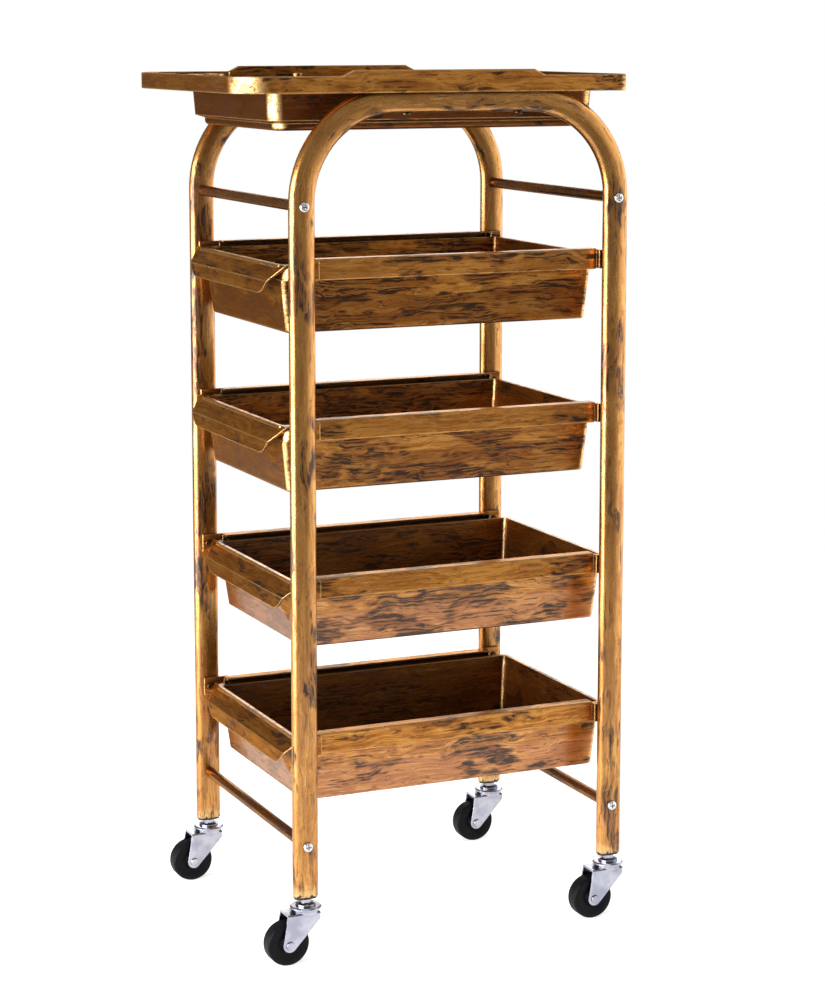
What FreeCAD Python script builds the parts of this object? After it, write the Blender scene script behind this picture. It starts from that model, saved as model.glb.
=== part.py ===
import FreeCAD, Part
import os
from math import acos, atan2, cos, pi, sin

# Rolling salon trolley: two bent oval tubes, a moulded top, four sliding trays in
# channel rails, and four swivel casters. Millimetres, +Z up, +X to the right and -Y
# to the front, where the trays pull out. The origin is on the floor, at the centre
# of the overall box.

V = FreeCAD.Vector
X, Y, Z = V(1, 0, 0), V(0, 1, 0), V(0, 0, 1)
SIDES = {"right": 1, "left": -1}
ENDS = {"front": -1, "back": 1}

# Side frames
LEG_SPACING = 310.0            # front leg to back leg, centre to centre
FRAME_SPACING = 260.0          # left frame to right frame, centre to centre
FRAME_Y = 24.25                # centre of the frames, behind the origin
TUBE_DEEP = 24.0               # oval tube, its long way in Y
TUBE_THICK = 13.0
TUBE_SIDE_RADIUS = 30.0        # of the slightly bulged sides
TUBE_WALL = 1.2
LEG_BOTTOM = 61.0
TUBE_TOP = 788.0
BEND_RADIUS = 90.0             # to the tube's centre line
LEG_X = FRAME_SPACING / 2
LEG_Y = LEG_SPACING / 2
INNER_X = LEG_X - TUBE_THICK / 2
OUTER_X = LEG_X + TUBE_THICK / 2

# Cross rods and their screws
ROD_RADIUS = 5.0
ROD_HEIGHTS = {"upper": 684.0, "lower": 108.5}
ROD_BORE_DEEP = 20.0
FRAME_SCREW = {"head_r": 4.4, "head_h": 2.6, "shank_r": 2.25, "length": 29.0}
HOLE_GAP = 0.05                # radial gap of a screw in its hole

# Rails
TRAY_PITCH = 143.5
RAIL_TOP = 206.0               # top of the lowest rail
RAIL_HEIGHT = 19.0
RAIL_WALL = 1.5
RAIL_WEB_X = 118.0             # outer face of the web
RAIL_OPEN_X = 106.0            # free edge of the flanges
RAIL_FRONT = -142.5
RAIL_BACK = 144.0
RAIL_BEND = 3.0                # rounding of the web's ends
RAIL_EDGE = 1.0                # rounding along the web's top and bottom
EAR_THICK = 3.0
EAR_INSET = 4.0                # how far the front ear's step starts inside the web's end
EAR_OVERLAP = 1.0              # of the back ear and the web's end
EAR_END = 161.0
EAR_MARGIN = 1.0               # the ear is this much lower than the web, top and bottom
RAIL_SCREW = {"head_r": 3.5, "head_h": 2.0, "shank_r": 1.75, "length": 8.0}

# Trays, with heights measured down from the top of their rail
TRAY_RIM = 5.0
TRAY_BOTTOM = 67.0
TRAY_HALF = 103.0              # outside of the walls at the rim
TRAY_FRONT = -152.0
TRAY_BACK = 160.0
TRAY_WALL = 2.0
TRAY_CORNER = 5.0
TRAY_FOOT = 3.0                # rounding along the bottom edge
DRAFT = {"side": 5.5, "front": 8.0, "back": 5.5}
RIM_THICK = 2.4
RIM_LEDGE = 2.5                # rim beyond the front and back walls
RIM_EDGE = 0.9                 # rounding of the rim's outer edge
RUNNER_X = 113.5               # outer face of the runner in the rail
RUNNER_WALL = 2.0
RUNNER_HALF = 139.0
RUNNER_GAP = 0.4               # under the runner and above the rail's lower flange
PULLED_OUT = {1: 12.5, 2: 12.5, 3: 0.0, 4: 0.0}
SHOULDER_HALF = 112.0          # upright band across the front, as deep as the rails
SHOULDER_BACK = -143.5
SHOULDER_CORNER = 8.0
LIP_HALF = 115.0               # the pull at its top corners, which are cut off at 45 degrees
LIP_CORNER = 20.0              # between the cut and the lower edge
LIP_THICK = 2.2
LIP_KNEE = (-164.5, 19.0)      # Y and depth below the rail's top
LIP_FOOT = (-166.0, 31.0)

# Top
TOP_HALF = 145.0
TOP_FRONT = -218.0
TOP_BACK = 160.0
TOP_CORNERS = (34.0, 8.0)      # plan radius at the front and at the back
SKIRT_BOTTOM = 782.0
SKIRT_WALL = 2.5
SKIRT_EDGE = 1.2               # rounding of the rim's outer edges, top and bottom
DECK_THICK = 2.5
RIM_TOP = 797.0
RAIL_LIP_TOP = 802.0           # the raised edge along the middle of both sides
RAIL_LIP_WALL = 4.0
RAIL_LIP_FRONT = -121.0
RAIL_LIP_BACK = 75.0
RAIL_LIP_RAMP = 10.0
WELL_HALF = 107.0
WELL_FRONT = -175.0
WELL_BACK = 147.0
WELL_CORNER = 14.0
WELL_DRAFT = 2.0
WELL_STEP = 757.5              # underside of the ledge round the well
WELL_LEDGE = 7.0
WELL_SLOPE = 2.5
WELL_BOTTOM = 748.5
WELL_FOOT = 4.0
WELL_WALL = 2.0
HOLDER_Y = -195.0              # hole for a hand tool, in the front of the top
HOLDER_RADIUS = 14.0
HOLDER_WALL = 2.5
TOP_BOSS_RADIUS = 5.0
TOP_BOSS_HEIGHT = 7.0
TOP_BOSS_Y = 55.0
TOP_SCREW = {"head_r": 4.0, "head_h": 2.4, "shank_r": 2.0, "length": 29.5}

# Leg plugs and casters
PLUG_GAP = 0.1
PLUG_DROP = 2.0
PLUG_HEIGHT = 26.0
STEM_RADIUS = 4.0
STEM_HEIGHT = 22.0             # up inside the plug
COLLAR_RADIUS = 5.5
CAP_RADIUS = 14.5
CAP_TOP = 55.8
CAP_FLANGE = 53.0
CAP_RIM = 50.7
CAP_WALL = 1.3
CAP_BEND = 1.2
CAP_DOME_RADIUS = 9.0
CROWN_TOP = 48.0
SHEET = 1.8                    # sheet steel of the fork
RACE_RADIUS = 12.6             # outside of the fork's ball race
RACE_HEIGHT = 2.2
RACE_WALL = 1.1
BALL_RADIUS = 1.7
BALL_RING = 9.3
BALL_COUNT = 12
KINGPIN_HEAD = 6.0
KINGPIN_HEAD_HEIGHT = 1.6
RUN_GAP = 0.06                 # radial running clearance of pins in moving pieces
END_GAP = 0.3
TRAIL = 19.0                   # wheel axle in front of the swivel axis
WHEEL_RADIUS = 20.0
WHEEL_WIDTH = 15.0
TYRE_ROUND = 2.5
HUB_RADIUS = 8.5
HUB_WIDTH = 17.0
HUB_DISH = 1.2
AXLE_RADIUS = 2.5
FORK_HALF = 10.8               # outside of the fork's side plates
FORK_FRONT = -21.0
FORK_BACK = 10.5
FORK_SHOULDER = 6.0            # straight part of the plates under the crown
FORK_END_RADIUS = 6.5
FORK_EDGE = 0.5                # rounding of the plates' outer edges
RIVET_RADIUS = 3.8
RIVET_HEIGHT = 1.5


def box(x0, x1, y0, y1, z0, z1):
    return Part.makeBox(x1 - x0, y1 - y0, z1 - z0, V(x0, y0, z0))


def rod(radius, start, direction, length):
    return Part.makeCylinder(radius, length, start, direction)


def prism(points, direction):
    """A closed outline of straight edges, extruded along a vector."""
    return Part.Face(Part.makePolygon(points + points[:1])).extrude(direction)


def oval_face(inset, z):
    """The tube's oval section at a height, drawn in by an inset: four arcs that run smoothly
    into each other."""
    side_r = TUBE_SIDE_RADIUS - inset
    thick, deep = TUBE_THICK / 2 - inset, TUBE_DEEP / 2 - inset
    side_centre = side_r - thick
    end_centre = (side_centre ** 2 - (side_r - deep) ** 2) / (2 * (side_r - deep))
    turn = atan2(end_centre, side_centre)
    join_x, join_y = side_r * cos(turn) - side_centre, side_r * sin(turn)
    edges = []
    for s in (1, -1):
        corners = V(s * join_x, -s * join_y, z), V(s * join_x, s * join_y, z)
        edges.append(Part.Arc(corners[0], V(s * thick, 0, z), corners[1]).toShape())
        edges.append(Part.Arc(corners[1], V(0, s * deep, z), V(-s * join_x, s * join_y, z)).toShape())
    return Part.Face(Part.Wire(edges))


def rounded_outline(half, front, back, z, r_front, r_back):
    """A rectangle about X = 0 with its own corner radius at each end."""
    def corner(sx, y, sy, r):
        cx, cy = sx * (half - r), y - sy * r
        on_side = V(sx * half, cy, z)
        middle = V(cx + sx * r * cos(pi / 4), cy + sy * r * sin(pi / 4), z)
        on_end = V(cx, y, z)
        return on_side, middle, on_end

    fr, br = corner(1, front, -1, r_front), corner(1, back, 1, r_back)
    bl, fl = corner(-1, back, 1, r_back), corner(-1, front, -1, r_front)
    edges = [
        Part.makeLine(fr[0], br[0]),
        Part.Arc(*br).toShape(),
        Part.makeLine(br[2], bl[2]),
        Part.Arc(bl[2], bl[1], bl[0]).toShape(),
        Part.makeLine(bl[0], fl[0]),
        Part.Arc(*fl).toShape(),
        Part.makeLine(fl[2], fr[2]),
        Part.Arc(fr[2], fr[1], fr[0]).toShape(),
    ]
    return Part.Wire(edges)


def tub(top, bottom, foot):
    """A solid that narrows from one outline to another, with a rounded foot."""
    body = Part.makeLoft([rounded_outline(*bottom), rounded_outline(*top)], True, True)
    z = bottom[3]
    low = [e for e in body.Edges if all(abs(v.Z - z) < 1e-6 for v in e.Vertexes)]
    return body.makeFillet(foot, low) if foot else body


def fuse(parts):
    return parts[0].multiFuse(parts[1:]).removeSplitter() if len(parts) > 1 else parts[0]


def screw(seat, direction, size):
    """A pan-head screw: its head stands off the seat, its shank goes along direction."""
    head = rod(size["head_r"], seat, direction * -1, size["head_h"])
    rim = [e for e in head.Edges if e.Closed and
           (e.CenterOfMass - seat).dot(direction) < -size["head_h"] / 2]
    head = head.makeFillet(size["head_h"] * 0.6, rim)
    shank = rod(size["shank_r"], seat, direction, size["length"])
    across = Z if abs(direction.z) < 0.5 else X
    other = direction.cross(across)
    face = seat - direction * size["head_h"]
    half_slot, half_span, deep = size["head_r"] * 0.12, size["head_r"] * 0.55, size["head_h"] * 0.45
    slots = []
    for a, b in ((across, other), (other, across)):
        corners = [face + a * (i * half_slot) + b * (j * half_span)
                   for i, j in ((-1, -1), (1, -1), (1, 1), (-1, 1))]
        slots.append(prism(corners, direction * deep))
    return head.fuse(shank).removeSplitter().cut(fuse(slots))


def side_frame(side):
    """One bent oval tube: two legs, two bends and the straight top, open at its ends."""
    def tube(inset):
        straight_top = TUBE_TOP - TUBE_DEEP / 2
        bend_z = straight_top - BEND_RADIUS
        reach = LEG_Y - BEND_RADIUS
        pieces = []
        for sy in ENDS.values():
            leg = oval_face(inset, LEG_BOTTOM)
            leg.translate(V(0, sy * LEG_Y, 0))
            pieces.append(leg.extrude(Z * (bend_z - LEG_BOTTOM)))
            start = oval_face(inset, bend_z)
            start.translate(V(0, sy * LEG_Y, 0))
            pieces.append(start.revolve(V(0, sy * reach, bend_z), X, sy * 90.0))
        across = oval_face(inset, 0)
        across.rotate(V(0, 0, 0), X, 90.0)
        across.translate(V(0, reach, straight_top))
        pieces.append(across.extrude(Y * (-2 * reach)))
        return fuse(pieces)

    frame = tube(0).cut(tube(TUBE_WALL))
    frame.translate(V(side * LEG_X, 0, 0))
    through = TUBE_THICK + 2 * TUBE_WALL
    holes = []
    for sy in ENDS.values():
        for z in ROD_HEIGHTS.values():
            start = V(side * LEG_X - through / 2, sy * LEG_Y, z)
            holes.append(rod(FRAME_SCREW["shank_r"] + HOLE_GAP, start, X, through))
        for level in PULLED_OUT:
            start = V(side * LEG_X, sy * LEG_Y, rail_middle(level))
            holes.append(rod(RAIL_SCREW["shank_r"] + HOLE_GAP, start, X * -side, TUBE_THICK))
        start = V(side * LEG_X, sy * TOP_BOSS_Y, TUBE_TOP - TUBE_DEEP - 1)
        holes.append(rod(TOP_SCREW["shank_r"] + HOLE_GAP, start, Z, TUBE_DEEP + 2))
    return frame.cut(fuse(holes))


def cross_rod(end, height):
    bar = rod(ROD_RADIUS, V(-INNER_X, end * LEG_Y, height), X, 2 * INNER_X)
    for side in SIDES.values():
        start = V(side * INNER_X, end * LEG_Y, height)
        bar = bar.cut(rod(FRAME_SCREW["shank_r"] + HOLE_GAP, start, X * -side, ROD_BORE_DEEP))
    return bar


def frame_screws():
    return [screw(V(side * OUTER_X, end * LEG_Y, z), X * -side, FRAME_SCREW)
            for side in SIDES.values() for end in ENDS.values() for z in ROD_HEIGHTS.values()]


def rail_top(level):
    return RAIL_TOP + TRAY_PITCH * (4 - level)


def rail_middle(level):
    return rail_top(level) - RAIL_HEIGHT / 2


def rail(level, side):
    """A channel that opens inwards, closed at the back. A bent ear joins each end to a leg."""
    top = rail_top(level)
    low = top - RAIL_HEIGHT
    web = box(RAIL_OPEN_X, RAIL_WEB_X, RAIL_FRONT, RAIL_BACK, low, top)
    ends = [e for e in web.Edges if all(abs(v.X - RAIL_WEB_X) < 1e-6 for v in e.Vertexes)
            and abs(e.Vertexes[0].Z - e.Vertexes[-1].Z) > 1]
    web = web.makeFillet(RAIL_BEND, ends)
    long_edges = [e for e in web.Edges if e.CenterOfMass.x > RAIL_WEB_X - RAIL_BEND
                  and abs(e.Vertexes[0].Z - e.Vertexes[-1].Z) < 1]
    web = web.makeFillet(RAIL_EDGE, long_edges)
    inside = box(RAIL_OPEN_X - 1, RAIL_WEB_X - RAIL_WALL, RAIL_FRONT - 1,
                 RAIL_BACK - RAIL_WALL, low + RAIL_WALL, top - RAIL_WALL)
    seat_x = INNER_X - EAR_THICK
    step = RAIL_FRONT + EAR_INSET
    front_ear = [(RAIL_WEB_X - RAIL_WALL, step), (RAIL_WEB_X - RAIL_WALL, step + EAR_THICK),
                 (INNER_X, step + EAR_THICK), (INNER_X, -EAR_END), (seat_x, -EAR_END), (seat_x, step)]
    step = RAIL_BACK - EAR_OVERLAP
    root_x = RAIL_WEB_X - RAIL_BEND
    back_ear = [(root_x, step), (INNER_X, step), (INNER_X, EAR_END), (seat_x, EAR_END),
                (seat_x, step + EAR_THICK), (root_x, step + EAR_THICK)]
    ears = [prism([V(x, y, low + EAR_MARGIN) for x, y in outline], Z * (RAIL_HEIGHT - 2 * EAR_MARGIN))
            for outline in (front_ear, back_ear)]
    body = fuse([web.cut(inside)] + ears)
    for end in ENDS.values():
        start = V(INNER_X - 2 * EAR_THICK, end * LEG_Y, rail_middle(level))
        body = body.cut(rod(RAIL_SCREW["shank_r"] + HOLE_GAP, start, X, 3 * EAR_THICK))
    return body if side > 0 else body.mirror(V(0, 0, 0), X)


def rail_screws():
    seat_x = INNER_X - EAR_THICK
    return [screw(V(side * seat_x, end * LEG_Y, rail_middle(level)), X * side, RAIL_SCREW)
            for level in PULLED_OUT for side in SIDES.values() for end in ENDS.values()]


def tray_lip(top):
    """The pull: a plate bent outwards and down in front of the tray, its ends cut at 45 degrees."""
    knee, foot = LIP_KNEE, LIP_FOOT
    profile = [(TRAY_FRONT + LIP_THICK, -TRAY_RIM), (TRAY_FRONT, -TRAY_RIM),
               (knee[0], -knee[1]), (foot[0], -foot[1]),
               (foot[0] + LIP_THICK, -foot[1]), (knee[0] + LIP_THICK, -knee[1]),
               (TRAY_FRONT + LIP_THICK / 2, -TRAY_RIM - 2 * LIP_THICK),
               (TRAY_FRONT + LIP_THICK, -TRAY_RIM - 2 * LIP_THICK)]
    plate = prism([V(-LIP_HALF, y, top + z) for y, z in profile], X * (2 * LIP_HALF))
    high, low = top - TRAY_RIM, top - foot[1]
    y = foot[0] - 1
    rise = LIP_CORNER * (1 - cos(pi / 4))
    cut_end = LIP_HALF - (high - low - rise)
    arc_end = cut_end - LIP_CORNER * sin(pi / 4)
    arc_middle = arc_end + LIP_CORNER * sin(pi / 8)
    middle_rise = LIP_CORNER * (1 - cos(pi / 8))
    edges = [Part.makeLine(V(LIP_HALF, y, high), V(-LIP_HALF, y, high)),
             Part.makeLine(V(-arc_end, y, low), V(arc_end, y, low))]
    for side in SIDES.values():
        cut_low = V(side * cut_end, y, low + rise)
        edges.append(Part.makeLine(V(side * LIP_HALF, y, high), cut_low))
        edges.append(Part.Arc(cut_low, V(side * arc_middle, y, low + middle_rise),
                              V(side * arc_end, y, low)).toShape())
    outline = Part.Wire(Part.__sortEdges__(edges))
    cutter = Part.Face(outline).extrude(Y * (TRAY_FRONT - y + 2 * LIP_THICK))
    return plate.common(cutter)


def tray_shoulder(top):
    """The band across the tray's front: it closes off the rails' ends, open below and behind."""
    high, low = top - TRAY_RIM, top - RAIL_HEIGHT
    block = box(-SHOULDER_HALF, SHOULDER_HALF, TRAY_FRONT, SHOULDER_BACK, low, high)
    corners = [e for e in block.Edges if abs(e.Vertexes[0].Z - e.Vertexes[-1].Z) > 1
               and e.Vertexes[0].Y < SHOULDER_BACK - 1]
    block = block.makeFillet(SHOULDER_CORNER, corners)
    inner = SHOULDER_HALF - TRAY_WALL
    hollow = box(-inner, inner, TRAY_FRONT + TRAY_WALL, SHOULDER_BACK + 1, low - 1, high - RIM_THICK)
    edges = [e for e in hollow.Edges if abs(e.Vertexes[0].Z - e.Vertexes[-1].Z) > 1
             and e.Vertexes[0].Y < SHOULDER_BACK]
    return block.cut(hollow.makeFillet(SHOULDER_CORNER - TRAY_WALL, edges))


def tray(level):
    """One moulded drawer: tapered walls, rim, side runners and the front pull."""
    top = rail_top(level)
    rim, low = top - TRAY_RIM, top - TRAY_BOTTOM

    def outline(z, inset, grow=0.0):
        share = (rim - z) / (rim - low)
        return (TRAY_HALF - inset - DRAFT["side"] * share + grow,
                TRAY_FRONT + inset + DRAFT["front"] * share - grow,
                TRAY_BACK - inset - DRAFT["back"] * share + grow,
                z, TRAY_CORNER - inset, TRAY_CORNER - inset)

    shell = tub(outline(rim, 0), outline(low, 0), TRAY_FOOT)
    edge = outline(rim - RIM_THICK, 0, RIM_LEDGE)
    ledge = Part.Face(rounded_outline(*edge)).extrude(Z * RIM_THICK)
    upper = [e for e in ledge.Edges if all(v.Z > rim - RIM_EDGE for v in e.Vertexes)]
    ledge = ledge.makeFillet(RIM_EDGE, upper)
    runners = []
    for side in SIDES.values():
        xs = sorted((side * (TRAY_HALF - TRAY_WALL), side * RUNNER_X))
        runners.append(box(*xs, -RUNNER_HALF, RUNNER_HALF, rim - RIM_THICK, rim))
        xs = sorted((side * (RUNNER_X - RUNNER_WALL), side * RUNNER_X))
        foot = top - RAIL_HEIGHT + RAIL_WALL + RUNNER_GAP
        runners.append(box(*xs, -RUNNER_HALF, RUNNER_HALF, foot, rim))
    body = fuse([shell, ledge, tray_lip(top), tray_shoulder(top)] + runners)
    mouth = outline(rim + 1, TRAY_WALL)
    floor = outline(low + TRAY_WALL, TRAY_WALL)
    body = body.cut(tub(mouth, floor, TRAY_FOOT - TRAY_WALL / 2))
    body.translate(V(0, -PULLED_OUT[level], 0))
    return body


def top_tray():
    """The moulded top: a rim that hides the tubes, a deck on them, and a stepped well."""
    def slab(inset, low, high):
        r_front, r_back = TOP_CORNERS
        wire = rounded_outline(TOP_HALF - inset, TOP_FRONT + inset, TOP_BACK - inset, low,
                               r_front - inset, r_back - inset)
        return Part.Face(wire).extrude(Z * (high - low))

    def well(inset, step, low, foot, mouth):
        share = (mouth - step) / (TUBE_TOP - step)
        upper_top = (WELL_HALF - inset + WELL_DRAFT * (share - 1), WELL_FRONT + inset,
                     WELL_BACK - inset, mouth, WELL_CORNER - inset, WELL_CORNER - inset)
        ledge = WELL_LEDGE + WELL_DRAFT
        upper = (WELL_HALF - inset - WELL_DRAFT, WELL_FRONT + inset + WELL_DRAFT,
                 WELL_BACK - inset - WELL_DRAFT, step, WELL_CORNER - inset, WELL_CORNER - inset)
        shelf = (WELL_HALF - inset - ledge, WELL_FRONT + inset + ledge,
                 WELL_BACK - inset - ledge, step - WELL_SLOPE, WELL_CORNER - inset,
                 WELL_CORNER - inset)
        bottom = shelf[:3] + (low,) + shelf[4:]
        return fuse([tub(upper_top, upper, 0), tub(upper, shelf, 0), tub(shelf, bottom, foot)])

    deck_top = TUBE_TOP + DECK_THICK
    outer = slab(0, SKIRT_BOTTOM, RIM_TOP)
    loops = [e for e in outer.Edges if abs(e.Vertexes[0].Z - e.Vertexes[-1].Z) < 1]
    rim = outer.makeFillet(SKIRT_EDGE, loops).cut(slab(SKIRT_WALL, SKIRT_BOTTOM, RIM_TOP))
    solid = [rim, slab(SKIRT_WALL / 2, TUBE_TOP, deck_top)]
    for side in SIDES.values():
        ends = (RAIL_LIP_FRONT, RAIL_LIP_BACK)
        ramp = (RAIL_LIP_FRONT + RAIL_LIP_RAMP, RAIL_LIP_BACK - RAIL_LIP_RAMP)
        base = TUBE_TOP
        x = side * TOP_HALF
        points = [V(x, ends[0], base), V(x, ends[1], base), V(x, ends[1], RIM_TOP),
                  V(x, ramp[1], RAIL_LIP_TOP), V(x, ramp[0], RAIL_LIP_TOP),
                  V(x, ends[0], RIM_TOP)]
        lip = prism(points, X * (-side * RAIL_LIP_WALL))
        crest = [e for e in lip.Edges if all(v.Z > RIM_TOP - 1 for v in e.Vertexes)
                 and all(abs(v.X - x) < 1e-6 for v in e.Vertexes)]
        solid.append(lip.makeFillet(SKIRT_EDGE, crest))
        for end in ENDS.values():
            seat = V(side * LEG_X, end * TOP_BOSS_Y, TUBE_TOP)
            solid.append(rod(TOP_BOSS_RADIUS, seat, Z, TOP_BOSS_HEIGHT))
    holder = V(0, HOLDER_Y, TUBE_TOP)
    solid.append(rod(HOLDER_RADIUS + HOLDER_WALL, holder, Z, RIM_TOP - TUBE_TOP))
    solid.append(well(0, WELL_STEP, WELL_BOTTOM, WELL_FOOT, TUBE_TOP))
    body = fuse(solid)
    inner = well(WELL_WALL, WELL_STEP + WELL_WALL, WELL_BOTTOM + WELL_WALL,
                 WELL_FOOT - WELL_WALL / 2, deck_top)
    cuts = [inner, rod(HOLDER_RADIUS, holder, Z, RIM_TOP - TUBE_TOP)]
    for side in SIDES.values():
        for end in ENDS.values():
            seat = V(side * LEG_X, end * TOP_BOSS_Y, TUBE_TOP)
            reach = TOP_SCREW["length"] - TUBE_DEEP + HOLE_GAP
            cuts.append(rod(TOP_SCREW["shank_r"] + HOLE_GAP, seat, Z, reach))
    return body.cut(fuse(cuts))


def top_tray_screws():
    seat_z = TUBE_TOP - TUBE_DEEP
    return [screw(V(side * LEG_X, end * TOP_BOSS_Y, seat_z), Z, TOP_SCREW)
            for side in SIDES.values() for end in ENDS.values()]


def leg_plug():
    """The plastic plug in a leg's end, with a socket for the caster's stem."""
    low = LEG_BOTTOM - PLUG_DROP
    plug = oval_face(TUBE_WALL + PLUG_GAP, low).extrude(Z * PLUG_HEIGHT)
    return plug.cut(rod(STEM_RADIUS + HOLE_GAP, V(0, 0, low), Z, STEM_HEIGHT + HOLE_GAP))


def caster_stem():
    """The stem with its collar, the kingpin under it and the kingpin's riveted end."""
    plug_low = LEG_BOTTOM - PLUG_DROP
    crown_low = CROWN_TOP - SHEET
    head_top = crown_low - END_GAP
    low = head_top - KINGPIN_HEAD_HEIGHT
    head = rod(KINGPIN_HEAD, V(0, 0, low), Z, KINGPIN_HEAD_HEIGHT)
    head = head.makeFillet(KINGPIN_HEAD_HEIGHT / 2, [e for e in head.Edges if e.Closed
                                                     and e.CenterOfMass.z < head_top - 1])
    return fuse([
        head,
        rod(STEM_RADIUS, V(0, 0, low), Z, plug_low + STEM_HEIGHT - low),
        rod(COLLAR_RADIUS, V(0, 0, CAP_TOP), Z, plug_low - CAP_TOP),
    ])


def raceway_cap():
    """The pressing above the balls: a flange with a low dome on it."""
    bore = STEM_RADIUS + HOLE_GAP
    dome, rim = CAP_DOME_RADIUS, CAP_RADIUS
    outside = [(bore, CAP_TOP), (dome - 2 * CAP_BEND, CAP_TOP), (dome, CAP_TOP - CAP_BEND),
               (dome, CAP_FLANGE), (rim - CAP_BEND, CAP_FLANGE), (rim, CAP_FLANGE - CAP_BEND),
               (rim, CAP_RIM)]
    dome, rim = dome - CAP_WALL, rim - CAP_WALL
    low = CAP_FLANGE - CAP_WALL
    inside = [(rim, CAP_RIM), (rim, low), (dome, low), (dome, CAP_TOP - CAP_WALL),
              (bore, CAP_TOP - CAP_WALL)]
    points = [V(r, 0, z) for r, z in outside + inside]
    return Part.Face(Part.makePolygon(points + points[:1])).revolve(V(0, 0, 0), Z, 360)


def swivel_balls():
    z = CROWN_TOP + HOLE_GAP + BALL_RADIUS
    turn = 2 * pi / BALL_COUNT
    return [Part.makeSphere(BALL_RADIUS, V(BALL_RING * cos(i * turn), BALL_RING * sin(i * turn), z))
            for i in range(BALL_COUNT)]


def tangent(point, centre, radius, turn):
    """Where a line from the point touches a circle that faces X. turn is 1 or -1."""
    away = point - centre
    angle = atan2(away.z, away.y) + turn * acos(radius / away.Length)
    return centre + V(0, radius * cos(angle), radius * sin(angle))


def fork():
    """Pressed steel: a crown with the lower ball race, and two plates that taper to the axle."""
    crown = box(-FORK_HALF, FORK_HALF, FORK_FRONT, FORK_BACK, CROWN_TOP - SHEET, CROWN_TOP)
    long_edges = [e for e in crown.Edges if all(abs(v.Z - CROWN_TOP) < 1e-6 for v in e.Vertexes)
                  and abs(e.Vertexes[0].X - e.Vertexes[-1].X) < 1e-6]
    crown = crown.makeFillet(SHEET * 0.8, long_edges)
    axle = V(0, -TRAIL, WHEEL_RADIUS)
    low = CROWN_TOP - SHEET
    shoulder = V(0, FORK_BACK, CROWN_TOP - FORK_SHOULDER)
    front = V(0, FORK_FRONT, low)
    round_from = tangent(shoulder, axle, FORK_END_RADIUS, -1)
    round_to = tangent(front, axle, FORK_END_RADIUS, 1)
    edges = [
        Part.makeLine(front, V(0, FORK_BACK, low)),
        Part.makeLine(V(0, FORK_BACK, low), shoulder),
        Part.makeLine(shoulder, round_from),
        Part.Arc(round_from, axle - Z * FORK_END_RADIUS, round_to).toShape(),
        Part.makeLine(round_to, front),
    ]
    outline = Part.Face(Part.Wire(edges))
    plates = []
    for side in SIDES.values():
        x = side * FORK_HALF
        plate = outline.extrude(X * (-side * SHEET))
        plate.translate(V(x, 0, 0))
        rim = [e for e in plate.Edges if all(abs(v.X - x) < 1e-6 for v in e.Vertexes)
               and any(v.Z < low - 1 for v in e.Vertexes)]
        plates.append(plate.makeFillet(FORK_EDGE, rim))
    race = rod(RACE_RADIUS, V(0, 0, CROWN_TOP - SHEET), Z, SHEET + RACE_HEIGHT)
    race = race.cut(rod(RACE_RADIUS - RACE_WALL, V(0, 0, CROWN_TOP), Z, RACE_HEIGHT))
    body = fuse([crown, race] + plates)
    kingpin = rod(STEM_RADIUS + RUN_GAP, V(0, 0, CROWN_TOP - 2 * SHEET), Z, 3 * SHEET)
    bore = rod(AXLE_RADIUS + HOLE_GAP, V(-FORK_HALF - 1, axle.y, axle.z), X, 2 * FORK_HALF + 2)
    return body.cut(fuse([kingpin, bore]))


def axle_rivet():
    centre = V(0, -TRAIL, WHEEL_RADIUS)
    pin = rod(AXLE_RADIUS, centre - X * FORK_HALF, X, 2 * FORK_HALF)
    heads = []
    for side in SIDES.values():
        head = rod(RIVET_RADIUS, centre + X * (side * FORK_HALF), X * side, RIVET_HEIGHT)
        rim = [e for e in head.Edges if e.Closed and abs(e.CenterOfMass.x) > FORK_HALF + 1]
        heads.append(head.makeFillet(RIVET_HEIGHT * 0.6, rim))
    return fuse([pin] + heads)


def wheel():
    """A moulded wheel: rounded tread, shallow dished faces and a hub that spaces the fork."""
    half, r, q = WHEEL_WIDTH / 2, WHEEL_RADIUS, TYRE_ROUND
    hub, hub_half = HUB_RADIUS, HUB_WIDTH / 2
    bore = AXLE_RADIUS + RUN_GAP
    turn = q * cos(pi / 4)
    dish = half - HUB_DISH

    def at(x, radius):
        return V(x, 0, radius)

    edges = []
    for s in (1, -1):
        run = [
            Part.makeLine(at(0, bore), at(s * hub_half, bore)),
            Part.makeLine(at(s * hub_half, bore), at(s * hub_half, hub - 1)),
            Part.makeLine(at(s * hub_half, hub - 1), at(s * dish, hub)),
            Part.makeLine(at(s * dish, hub), at(s * half, r - 2 * q)),
            Part.makeLine(at(s * half, r - 2 * q), at(s * half, r - q)),
            Part.Arc(at(s * half, r - q), at(s * (half - q + turn), r - q + turn),
                     at(s * (half - q), r)).toShape(),
            Part.makeLine(at(s * (half - q), r), at(0, r)),
        ]
        edges += run if s > 0 else run[::-1]
    section = Part.Face(Part.Wire(Part.__sortEdges__(edges)))
    body = section.revolve(V(0, 0, 0), X, 360)
    body.translate(V(0, -TRAIL, WHEEL_RADIUS))
    return body


def place(shape, side, end):
    """Moves a piece made about the origin's upright axis to a leg's axis."""
    copy = shape.copy()
    copy.translate(V(side * LEG_X, end * LEG_Y, 0))
    return copy


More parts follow.
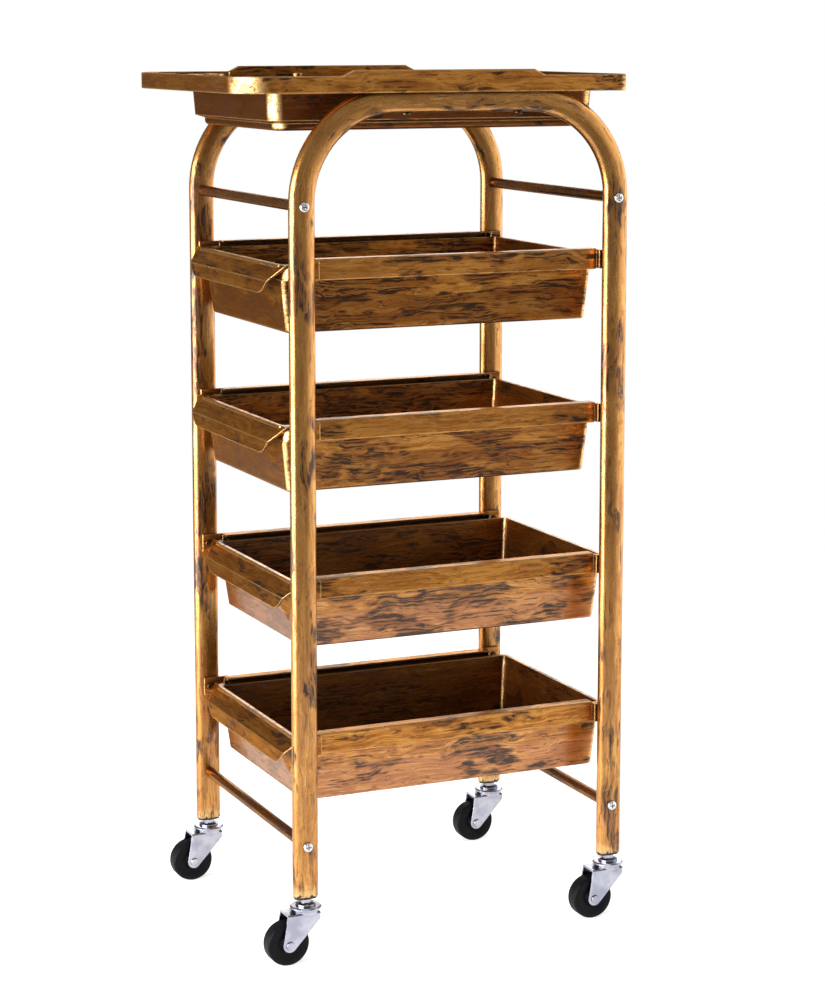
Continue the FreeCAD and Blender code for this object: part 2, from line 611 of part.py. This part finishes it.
def build():
    nodes = {"top_tray": [top_tray()], "frame_screws": frame_screws(),
             "rail_screws": rail_screws(), "top_tray_screws": top_tray_screws()}
    for side_name, side in SIDES.items():
        nodes["side_frame_" + side_name] = [side_frame(side)]
        for level in PULLED_OUT:
            nodes["rail_%d_%s" % (level, side_name)] = [rail(level, side)]
    for height_name, z in ROD_HEIGHTS.items():
        for end_name, end in ENDS.items():
            nodes["cross_rod_%s_%s" % (height_name, end_name)] = [cross_rod(end, z)]
    for level in PULLED_OUT:
        nodes["tray_%d" % level] = [tray(level)]
    corner_pieces = {"leg_plug": [leg_plug()], "caster_stem": [caster_stem()],
                     "raceway_cap": [raceway_cap()], "swivel_balls": swivel_balls(),
                     "fork": [fork()], "axle": [axle_rivet()], "wheel": [wheel()]}
    for name, shapes in corner_pieces.items():
        for end_name, end in ENDS.items():
            for side_name, side in SIDES.items():
                where = "%s_%s_%s" % (name, end_name, side_name)
                nodes[where] = [place(s, side, end) for s in shapes]
    return nodes


def export(nodes):
    os.makedirs("parts", exist_ok=True)
    for name, shapes in nodes.items():
        whole = Part.makeCompound(shapes) if len(shapes) > 1 else shapes[0]
        whole.translate(V(0, FRAME_Y, 0))
        solids = whole.Solids
        shape = solids[0] if len(solids) == 1 else Part.makeCompound(solids)
        shape.exportStep("parts/%s.step" % name)
        print("%-28s %2d solid(s)  valid %s  %9.0f mm3" % (
            name, len(solids), shape.isValid(), shape.Volume))


export(build())
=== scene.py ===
from math import cos, radians, sin

import bmesh
import bpy
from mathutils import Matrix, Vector

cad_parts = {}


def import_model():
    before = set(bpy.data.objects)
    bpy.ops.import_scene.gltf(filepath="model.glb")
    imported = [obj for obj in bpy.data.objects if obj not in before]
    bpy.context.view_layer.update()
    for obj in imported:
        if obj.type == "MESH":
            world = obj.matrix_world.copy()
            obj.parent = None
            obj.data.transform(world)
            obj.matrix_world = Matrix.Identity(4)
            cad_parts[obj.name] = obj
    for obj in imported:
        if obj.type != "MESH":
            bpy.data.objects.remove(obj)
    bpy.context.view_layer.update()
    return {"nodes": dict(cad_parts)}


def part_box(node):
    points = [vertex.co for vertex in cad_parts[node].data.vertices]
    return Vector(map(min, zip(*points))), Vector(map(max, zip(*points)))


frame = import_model()

# Rolling salon trolley, metres, in the CAD's frame: +Z up, -Y to the front, +X to the near side.
# The CAD nodes are the whole shape. This script gives them their materials, light and a camera.

NODES = frame["nodes"]


def middle(node):
    low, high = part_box(node)
    return (low + high) / 2


FRAME_LOW, FRAME_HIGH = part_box("side_frame_right")
FRAME_CENTRE_Y = middle("side_frame_right").y
TUBE_DEEP = 0.024              # the oval tube's long way
BEND_RADIUS = 0.090            # to the tube's centre line
LEG_Y = (FRAME_HIGH.y - FRAME_LOW.y - TUBE_DEEP) / 2
RAIL_HOLLOW_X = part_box("rail_1_right")[0].x + 0.0102    # just short of the rail's web
TOP_RIM_DEEP = 0.0215          # from the top's highest point to just under its rim
PULL_DEEP = 0.032              # from a tray's highest point to just under its pull
MOUTH_DEEP = 0.003             # from a tub's highest point to what its inner faces look towards
WHEEL_TREAD = (0.0178, 0.0198)    # radii between which the tread begins


# ---------------------------------------------------------------- shader helpers

def srgb(red, green, blue):
    """A display colour, 0 to 255 a channel, as a linear colour."""
    def linear(value):
        c = value / 255
        return c / 12.92 if c <= 0.04045 else ((c + 0.055) / 1.055) ** 2.4
    return (linear(red), linear(green), linear(blue), 1.0)


WHITE = (1.0, 1.0, 1.0, 1.0)
CREAM = srgb(240, 196, 130)
GOLD = srgb(206, 140, 62)
STRAW = srgb(196, 150, 76)
OCHRE = srgb(168, 104, 40)
# A pink standing in for the pale floor's reflection on the lower trays: a painted reflection
ROSE_FLOOR_REFLECTION = srgb(180, 122, 92)
BROWN = srgb(120, 62, 22)
CHESTNUT = srgb(86, 38, 16)
STREAK = srgb(28, 13, 8)
# Near black: the painted shade in nooks and in the tubs' insides, a rail channel's dark hollow,
# and the chips at the feet
NEAR_BLACK = srgb(12, 6, 3)


class Shader:
    """A material whose nodes are added by short calls that return output sockets."""

    def __init__(self, name):
        self.material = bpy.data.materials.new(name)
        self.material.use_nodes = True
        self.tree = self.material.node_tree
        self.tree.nodes.clear()
        output = self.tree.nodes.new("ShaderNodeOutputMaterial")
        self.surface = self.tree.nodes.new("ShaderNodeBsdfPrincipled")
        self.tree.links.new(self.surface.outputs[0], output.inputs["Surface"])
        where = self.tree.nodes.new("ShaderNodeTexCoord")
        self.place, self.normal = where.outputs["Object"], where.outputs["Normal"]
        geometry = self.tree.nodes.new("ShaderNodeNewGeometry")
        self.facing = geometry.outputs["Normal"]

    def plug(self, socket, value):
        if isinstance(value, bpy.types.NodeSocket):
            self.tree.links.new(value, socket)
        elif value is not None:
            socket.default_value = value

    def node(self, kind, inputs, output=0, **settings):
        made = self.tree.nodes.new("ShaderNode" + kind)
        for key, value in settings.items():
            setattr(made, key, value)
        for key, value in inputs.items():
            self.plug(made.inputs[key], value)
        return made.outputs[output]

    def math(self, operation, a, b=None, c=None):
        return self.node("Math", {0: a, 1: b, 2: c}, operation=operation)

    def vector(self, operation, a, b=None):
        output = "Value" if operation in ("DOT_PRODUCT", "LENGTH") else "Vector"
        return self.node("VectorMath", {0: a, 1: b}, output, operation=operation)

    def split(self, vector):
        made = self.tree.nodes.new("ShaderNodeSeparateXYZ")
        self.plug(made.inputs[0], vector)
        return made.outputs[0], made.outputs[1], made.outputs[2]

    def join(self, x, y, z):
        return self.node("CombineXYZ", {0: x, 1: y, 2: z})

    def noise(self, vector, detail, roughness, scale=1.0):
        return self.node("TexNoise", {"Vector": vector, "Scale": scale, "Detail": detail,
                                      "Roughness": roughness})

    def spread(self, value, low, high, to_low=0.0, to_high=1.0, smooth=True):
        """A value from to_low to to_high as the given one goes from low to high."""
        return self.node("MapRange", {"Value": value, "From Min": low, "From Max": high,
                                      "To Min": to_low, "To Max": to_high},
                         interpolation_type="SMOOTHSTEP" if smooth else "LINEAR")

    def choose(self, share, a, b):
        """A value from a to b, which are two numbers or two sockets."""
        reach = self.math("SUBTRACT", b, a) if isinstance(a, bpy.types.NodeSocket) else b - a
        return self.math("MULTIPLY_ADD", share, reach, a)

    def blend(self, share, a, b):
        """A colour from a to b."""
        made = self.tree.nodes.new("ShaderNodeMix")
        made.data_type = "RGBA"
        colours = [s for s in made.inputs if s.type == "RGBA"]
        self.plug(made.inputs[0], share)
        self.plug(colours[0], a)
        self.plug(colours[1], b)
        return [s for s in made.outputs if s.type == "RGBA"][0]

    def bump(self, height, distance, strength, under=None):
        return self.node("Bump", {"Height": height, "Distance": distance, "Strength": strength,
                                  "Normal": under})

    def rounded(self, radius):
        """The normal with its sharp edges rounded."""
        return self.node("Bevel", {"Radius": radius}, samples=4)

    def painted_nook_shade(self, colour, distance, clean, full, most):
        """The colour with painted shade in its nooks, darkened by ambient occlusion: none where
        clean of the sky is seen, most where full is."""
        nook = self.node("AmbientOcclusion", {"Distance": distance}, output="AO", samples=4)
        return self.blend(self.spread(nook, clean, full, 0.0, most), colour, NEAR_BLACK)

    def finish(self, **inputs):
        for key, value in inputs.items():
            self.plug(self.surface.inputs[key.replace("_", " ")], value)
        return self.material


# ---------------------------------------------------------------- antique bronze

EDGE_TINT = (1.0, 0.70, 0.42, 1.0)    # keeps the metal warm at grazing angles

# Each kind's share of cream at the edges: rubbed paint, and a painted highlight too
METAL = {"metallic": 0.95, "rough": 0.26, "wear_and_highlight": 0.3}
MOULDED = {"metallic": 0.92, "rough": 0.31, "wear_and_highlight": 0.8}

# Each layer of the brushing: its size along the strokes and across them, and its seed
DRIFT = (0.060, 0.030, 3.0)
WIGGLE = (0.022, 0.010, 7.0)
TONE = (0.090, 0.0060, 11.0)
CLOUD = (0.060, 0.030, 5.0)
FINE = (0.040, 0.0022, 17.0)
PATCH = (0.070, 0.022, 23.0)
STROKE = (0.052, 0.0020, 29.0)

# Each tub: how much of it the dark strokes cover, its lacquer, the painted light outside and how
# much of it (painted shade, browner, under the top's rim and on the upper trays; a painted pink
# reflection of the pale floor on the lower trays), and how much painted shade darkens the inside
TUBS = {
    "top_tray": {"dark": 0.60, "coat": 0.10, "painted_light_tint": CHESTNUT, "painted_light_share": 0.80, "inside": 0.80},
    "tray_1": {"dark": 0.85, "coat": 0.05, "painted_light_tint": CHESTNUT, "painted_light_share": 0.38, "inside": 0.05},
    "tray_2": {"dark": 0.66, "coat": 0.30, "painted_light_tint": CHESTNUT, "painted_light_share": 0.30, "inside": 0.05},
    "tray_3": {"dark": 0.64, "coat": 0.80, "painted_light_tint": ROSE_FLOOR_REFLECTION, "painted_light_share": 0.35, "inside": 0.40},
    "tray_4": {"dark": 0.56, "coat": 0.80, "painted_light_tint": ROSE_FLOOR_REFLECTION, "painted_light_share": 0.35, "inside": 0.55},
}


def brushed(shader, flow, layer):
    """The flow scaled to a layer's size and moved on by its seed."""
    along, across, seed = layer
    scaled = shader.vector("MULTIPLY", flow, (1 / along, 1 / across, 1 / across))
    return shader.vector("ADD", scaled, (seed, seed * 1.7, seed * 2.3))


def swayed(shader, flow, layer, reach):
    """The flow, moved to and fro across the strokes by up to half the reach."""
    drift = shader.noise(brushed(shader, flow, layer), 2.0, 0.55)
    drift = shader.math("SUBTRACT", drift, 0.5)
    aside = shader.vector("MULTIPLY", shader.join(0.0, drift, drift), (0.0, reach, reach))
    return shader.vector("ADD", flow, aside)


def bronze_over(shader, flow, kind, dark, coat, masks, strength=1.0):
    """Antique bronze, brushed by hand. flow is (along the strokes, across, across) in metres,
    dark is how much of it the dark strokes cover, coat is the lacquer over it, each of the masks
    is a share and a colour that the paint under the strokes turns to, and strength fades the
    strokes."""
    s = shader
    wavy = swayed(s, swayed(s, flow, DRIFT, 0.018), WIGGLE, 0.0014)
    tone = s.noise(brushed(s, wavy, TONE), 5.0, 0.62)
    cloud = s.noise(brushed(s, wavy, CLOUD), 3.0, 0.55)
    fine = s.noise(brushed(s, wavy, FINE), 4.0, 0.65)
    patch = s.noise(brushed(s, wavy, PATCH), 3.0, 0.62)
    stroke = s.noise(brushed(s, wavy, STROKE), 6.0, 0.72)

    # Paint, from ochre to gold, with fine brown and cream lines
    tone = s.math("ADD", s.math("MULTIPLY", tone, 0.55), s.math("MULTIPLY", cloud, 0.45))
    colour = s.blend(s.spread(tone, 0.40, 0.60), OCHRE, GOLD)
    colour = s.blend(s.spread(fine, 0.50, 0.60, 0.0, 0.55), colour, BROWN)
    colour = s.blend(s.spread(fine, 0.45, 0.36, 0.0, 0.25), colour, CREAM)
    for share, paint in masks:
        colour = s.blend(share, colour, paint)

    # Strokes, dense in patches over a brown wash, and sparse between them
    bare, thin = 0.60 - 0.20 * dark, 0.60 - 0.08 * dark
    covered = s.spread(patch, bare, bare + 0.08)
    colour = s.blend(s.math("MULTIPLY", covered, 0.45), colour, BROWN)
    dense = s.spread(stroke, 0.45, 0.54, 0.08, 0.96)
    sparse = s.spread(stroke, thin, thin + 0.06, 0.0, 0.85)
    marks = s.math("MULTIPLY", s.choose(covered, sparse, dense), strength)
    colour = s.blend(marks, colour, STREAK)

    # Edges painted light, partly rubbed paint and partly a painted highlight, and painted shade
    # in the nooks
    rounded = s.rounded(0.0014)
    bend = s.vector("DOT_PRODUCT", rounded, s.facing)
    worn_and_highlit = s.math("MULTIPLY", s.spread(bend, 0.998, 0.95), s.spread(stroke, 0.66, 0.46, 0.3, 1.0))
    colour = s.blend(s.math("MULTIPLY", worn_and_highlit, kind["wear_and_highlight"]), colour, CREAM)
    colour = s.painted_nook_shade(colour, 0.014, 0.80, 0.30, 0.80)

    roughness = s.math("ADD", s.choose(marks, kind["rough"], kind["rough"] + 0.14),
                       s.spread(fine, 0.35, 0.65, -0.05, 0.07, smooth=False))
    height = s.math("MULTIPLY_ADD", marks, -0.6, s.math("MULTIPLY", fine, 0.5))
    normal = s.bump(height, 0.00012, 0.5, rounded)
    return s.finish(Base_Color=colour, Roughness=roughness, Specular_Tint=EDGE_TINT,
                    Metallic=s.choose(marks, kind["metallic"], 0.6), Normal=normal,
                    Coat_Weight=coat, Coat_Roughness=0.14, Coat_Normal=normal)


def tube_bronze():
    """The strokes run up the legs, round the bends and along the top. The feet are rubbed light,
    and chipped at the cut."""
    s = Shader("bronze_tube")
    x, y, z = s.split(s.place)
    y = s.math("SUBTRACT", y, FRAME_CENTRE_Y)
    straight = LEG_Y - BEND_RADIUS
    bend_z = FRAME_HIGH.z - TUBE_DEEP / 2 - BEND_RADIUS
    out = s.math("ABSOLUTE", y)
    past = s.math("MAXIMUM", s.math("SUBTRACT", out, straight), 0.0)
    above = s.math("MAXIMUM", s.math("SUBTRACT", z, bend_z), 0.0)
    turn = s.math("MULTIPLY", s.math("ARCTAN2", above, past), BEND_RADIUS)
    along = s.math("ADD", s.math("MINIMUM", z, bend_z), turn)
    along = s.math("SUBTRACT", along, s.math("MINIMUM", out, straight))
    along = s.math("MULTIPLY", s.math("SUBTRACT", along, 1.0), s.math("SIGN", y))
    radial = s.vector("LENGTH", s.join(past, above, 0.0))

    uneven = 0.024
    ragged = s.math("MULTIPLY_ADD", s.noise(s.place, 5.0, 0.7, scale=160.0), uneven, z)
    foot = FRAME_LOW.z + uneven / 2
    rubbed = (s.spread(ragged, foot + 0.012, foot + 0.001, 0.0, 0.65), CREAM)
    chipped = (s.spread(ragged, foot + 0.0015, foot - 0.0010), NEAR_BLACK)
    return bronze_over(s, s.join(along, radial, x), METAL, 0.42, 0.8,
                       ((0.22, STRAW), rubbed, chipped))


def straight_bronze(name, axis, kind, dark, coat, browner, hollow_x=None):
    """Strokes along X or Y, over paint that is a share browner. A channel's hollow, past hollow_x
    towards the middle, is left dark."""
    s = Shader(name)
    x, y, z = s.split(s.place)
    flow = s.join(x, y, z) if axis == "X" else s.join(y, x, z)
    masks = ((browner, CHESTNUT),)
    if hollow_x is not None:
        hollow = s.math("LESS_THAN", s.math("ABSOLUTE", x), hollow_x)
        hollow = s.math("MULTIPLY", hollow, s.math("LESS_THAN", s.split(s.normal)[2], 0.5))
        masks += ((s.math("MULTIPLY", hollow, 0.97), NEAR_BLACK),)
    return bronze_over(s, flow, kind, dark, coat, masks)


def wall_bronze(node, look):
    """A tub's bronze, with the strokes along each wall: walls that face X have them along Y, the
    others along X. The inside is the faces that look towards the middle of the mouth, but not the
    top's rim, and it is darkened as painted shade. The painted light outside is below the top's
    rim or a tray's pull: painted shade on the top and the upper trays, a painted floor reflection
    on the lower ones. The upright corners get a painted highlight, and the front is plainer and
    browner, as painted shade."""
    s = Shader("bronze_" + node)
    x, y, z = s.split(s.place)
    nx, ny, _ = s.split(s.normal)
    facing_y = s.math("GREATER_THAN", s.math("ABSOLUTE", ny), s.math("ABSOLUTE", nx))
    flow = s.join(s.choose(facing_y, y, x), s.choose(facing_y, x, y), z)

    top_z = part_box(node)[1].z
    is_top = node == "top_tray"
    inside_z = top_z - TOP_RIM_DEEP if is_top else top_z
    painted_light_z = top_z - (TOP_RIM_DEEP if is_top else PULL_DEEP)
    centre = middle(node)
    to_mouth = s.vector("SUBTRACT", s.place, (centre.x, centre.y, top_z - MOUTH_DEEP))
    inside = s.math("LESS_THAN", s.vector("DOT_PRODUCT", s.normal, to_mouth), 0.0)
    inside = s.math("MULTIPLY", inside, s.math("LESS_THAN", z, inside_z))
    outside = s.math("GREATER_THAN", s.math("LESS_THAN", z, painted_light_z), inside)
    # Painted highlight on the upright corners; painted shade, browner, on the front faces
    highlit_corner = s.spread(s.math("ABSOLUTE", s.math("MULTIPLY", nx, ny)), 0.12, 0.40, 0.0, 0.75)
    front = s.spread(ny, -0.3, -0.7)
    # Outside: painted shade on the top and upper trays, painted floor reflection on the lower
    # ones; inside: painted shade
    masks = ((s.math("MULTIPLY", outside, look["painted_light_share"]), look["painted_light_tint"]),
             (s.math("MULTIPLY", front, 0.48), CHESTNUT),
             (s.math("MULTIPLY", inside, look["inside"]), NEAR_BLACK), (highlit_corner, CREAM))
    return bronze_over(s, flow, MOULDED, look["dark"], look["coat"], masks,
                       s.spread(front, 0.0, 1.0, 1.0, 0.65))


# ---------------------------------------------------------------- other materials

def plated(name, light, shade, roughness):
    """Smooth plated steel, a little cloudy, with painted shade in its nooks."""
    s = Shader(name)
    cloud = s.noise(s.place, 3.0, 0.55, scale=60.0)
    grain = s.noise(s.place, 4.0, 0.55, scale=2600.0)
    colour = s.blend(s.spread(cloud, 0.3, 0.7), light, shade)
    return s.finish(Base_Color=s.painted_nook_shade(colour, 0.004, 0.85, 0.40, 0.85), Metallic=1.0,
                    Roughness=s.spread(grain, 0.3, 0.7, roughness - 0.05, roughness + 0.05),
                    Normal=s.bump(grain, 0.00001, 0.4, s.rounded(0.0004)))


def wheel_black(centre):
    """Moulded black, with a greyer, dusty tread and fine turning marks."""
    s = Shader("wheel_black")
    local = s.vector("SUBTRACT", s.place, tuple(centre))
    _, y, z = s.split(local)
    radius = s.vector("LENGTH", s.join(0.0, y, z))
    rings = s.math("SINE", s.math("MULTIPLY", radius, 9000.0))
    dust = s.noise(local, 5.0, 0.65, scale=260.0)
    tread = s.spread(radius, *WHEEL_TREAD)
    share = s.math("MULTIPLY", s.math("ADD", s.math("MULTIPLY", tread, 0.16), 0.05),
                   s.spread(dust, 0.35, 0.7))
    height = s.math("ADD", s.math("MULTIPLY", rings, 0.12), dust)
    return s.finish(Base_Color=s.blend(share, srgb(3, 3, 6), srgb(44, 43, 54)),
                    Roughness=s.choose(tread, 0.45, 0.55), Specular_IOR_Level=0.14,
                    Normal=s.bump(height, 0.0001, 0.4))


def black_plastic():
    s = Shader("black_plastic")
    grain = s.noise(s.place, 4.0, 0.55, scale=1800.0)
    return s.finish(Base_Color=s.blend(grain, srgb(20, 19, 19), srgb(40, 38, 37)),
                    Roughness=s.spread(grain, 0.3, 0.7, 0.4, 0.6),
                    Normal=s.bump(grain, 0.00005, 0.4))


def pale_floor():
    """White, fading out into the backdrop away from the trolley."""
    s = Shader("pale_floor")
    soft = s.noise(s.place, 2.0, 0.55, scale=1.2)
    x, y, _ = s.split(s.place)
    away = s.vector("LENGTH", s.join(x, y, 0.0))
    return s.finish(Base_Color=s.blend(soft, (0.86, 0.86, 0.86, 1.0), (0.90, 0.90, 0.90, 1.0)),
                    Roughness=0.75, Alpha=s.spread(away, 2.0, 0.6),
                    Emission_Color=WHITE, Emission_Strength=0.60)


# ---------------------------------------------------------------- which node has which

def dress(node, material):
    mesh = NODES[node].data
    mesh.materials.clear()
    mesh.materials.append(material)
    for face in mesh.polygons:
        face.material_index = 0


def dress_pull(node, material):
    """The faces of a tray that look straight forward and whose middle is high: the pull, the band
    behind it, and part of the back wall's inside."""
    mesh = NODES[node].data
    mesh.materials.append(material)
    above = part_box(node)[1].z - PULL_DEEP
    for face in mesh.polygons:
        forward = face.normal.y < -0.3 and abs(face.normal.x) < 0.1
        if forward and face.center.z > above:
            face.material_index = 1


def dress_all():
    # The pull and the faces with it are a share browner: painted shade, as on the tubs' fronts
    pull = straight_bronze("bronze_pull", "X", MOULDED, 0.5, 0.05, 0.40)
    dark_steel = plated("dark_steel", srgb(104, 74, 46), srgb(66, 46, 30), 0.34)
    zinc = plated("zinc", srgb(190, 192, 203), srgb(156, 158, 174), 0.20)
    by_start = {
        "side_frame": tube_bronze(),
        "cross_rod": straight_bronze("bronze_rod", "X", METAL, 0.6, 0.3, 0.75),
        "frame_screws": plated("bright_zinc", srgb(234, 234, 238), srgb(208, 209, 216), 0.28),
        "rail_screws": dark_steel,
        "rail_": straight_bronze("bronze_rail", "Y", MOULDED, 0.45, 0.2, 0.05, RAIL_HOLLOW_X),
        "top_tray_screws": dark_steel,
        "leg_plug": black_plastic(),
        "swivel_balls": plated("bearing_steel", srgb(225, 226, 230), srgb(214, 215, 220), 0.12),
    }
    for node in NODES:
        if node in TUBS:
            dress(node, wall_bronze(node, TUBS[node]))
            if node != "top_tray":
                dress_pull(node, pull)
        elif node.startswith("wheel"):
            dress(node, wheel_black(middle(node)))
        else:
            known = [by_start[start] for start in by_start if node.startswith(start)]
            dress(node, known[0] if known else zinc)


# ---------------------------------------------------------------- stage, light and camera

def floor():
    reach = 30.0
    mesh = bpy.data.meshes.new("floor")
    shape = bmesh.new()
    corners = [shape.verts.new((x * reach, y * reach, 0.0))
               for x, y in ((-1, -1), (1, -1), (1, 1), (-1, 1))]
    shape.faces.new(corners)
    shape.to_mesh(mesh)
    shape.free()
    ground = bpy.data.objects.new("floor", mesh)
    bpy.context.scene.collection.objects.link(ground)
    mesh.materials.append(pale_floor())


def towards(azimuth, elevation):
    """The direction of an azimuth, 0 in front and 90 to the right, and an elevation."""
    a, e = radians(azimuth), radians(elevation)
    return Vector((sin(a) * cos(e), -cos(a) * cos(e), sin(e)))


def turn_to(thing, back):
    """Point a light or a camera opposite to a direction, with its top up."""
    thing.rotation_mode = "QUATERNION"
    thing.rotation_quaternion = (-back).to_track_quat("-Z", "Y")


def world():
    """A white backdrop whose own light is dim, but for a broad glow behind the trolley."""
    glow_way = towards(170, 0)
    glow_edge, glow_core = radians(54), radians(22)
    dim, bright = 0.27, 2.2

    sky = bpy.data.worlds.new("studio")
    sky.use_nodes = True
    tree = sky.node_tree
    back = tree.nodes["Background"]
    back.inputs["Color"].default_value = WHITE
    where = tree.nodes.new("ShaderNodeTexCoord")
    lean = tree.nodes.new("ShaderNodeVectorMath")
    lean.operation = "DOT_PRODUCT"
    lean.inputs[1].default_value = glow_way
    tree.links.new(where.outputs["Generated"], lean.inputs[0])
    glow = tree.nodes.new("ShaderNodeMapRange")
    glow.interpolation_type = "SMOOTHSTEP"
    for socket, value in (("From Min", cos(glow_edge)), ("From Max", cos(glow_core)),
                          ("To Min", dim), ("To Max", bright)):
        glow.inputs[socket].default_value = value
    tree.links.new(lean.outputs["Value"], glow.inputs["Value"])
    tree.links.new(glow.outputs[0], back.inputs["Strength"])
    seen = tree.nodes.new("ShaderNodeBackground")
    seen.inputs["Color"].default_value = WHITE
    seen.inputs["Strength"].default_value = 1.0
    path = tree.nodes.new("ShaderNodeLightPath")
    choice = tree.nodes.new("ShaderNodeMixShader")
    tree.links.new(path.outputs["Is Camera Ray"], choice.inputs[0])
    tree.links.new(back.outputs[0], choice.inputs[1])
    tree.links.new(seen.outputs[0], choice.inputs[2])
    tree.links.new(choice.outputs[0], tree.nodes["World Output"].inputs["Surface"])
    bpy.context.scene.world = sky


def softbox(name, azimuth, elevation, distance, width, height, power):
    """A soft area light aimed at the middle of the trolley."""
    data = bpy.data.lights.new(name, "AREA")
    data.shape = "RECTANGLE"
    data.size, data.size_y, data.energy = width, height, power
    light = bpy.data.objects.new(name, data)
    light.visible_camera = False
    bpy.context.scene.collection.objects.link(light)
    back = towards(azimuth, elevation)
    light.location = Vector((0.0, 0.0, 0.4)) + back * distance
    turn_to(light, back)


def camera():
    """The photograph's view: from the right, a little to the front and above."""
    aim = Vector((0.0209, FRAME_CENTRE_Y, 0.4907))
    back, distance = towards(65.86, 8.18), 2.43
    data = bpy.data.cameras.new("camera")
    data.lens = 92.607
    data.shift_y = -0.1004
    data.clip_end = 100.0
    view = bpy.data.objects.new("camera", data)
    bpy.context.scene.collection.objects.link(view)
    view.location = aim + back * distance
    turn_to(view, back)
    bpy.context.scene.camera = view


dress_all()
floor()
world()
softbox("key", azimuth=14, elevation=3, distance=2.4, width=2.8, height=1.7, power=150)
softbox("above", azimuth=60, elevation=80, distance=2.6, width=2.0, height=2.0, power=12)
softbox("rim", azimuth=-114, elevation=11, distance=2.6, width=1.5, height=0.9, power=9)
camera()
bpy.context.scene.view_settings.view_transform = "Standard"
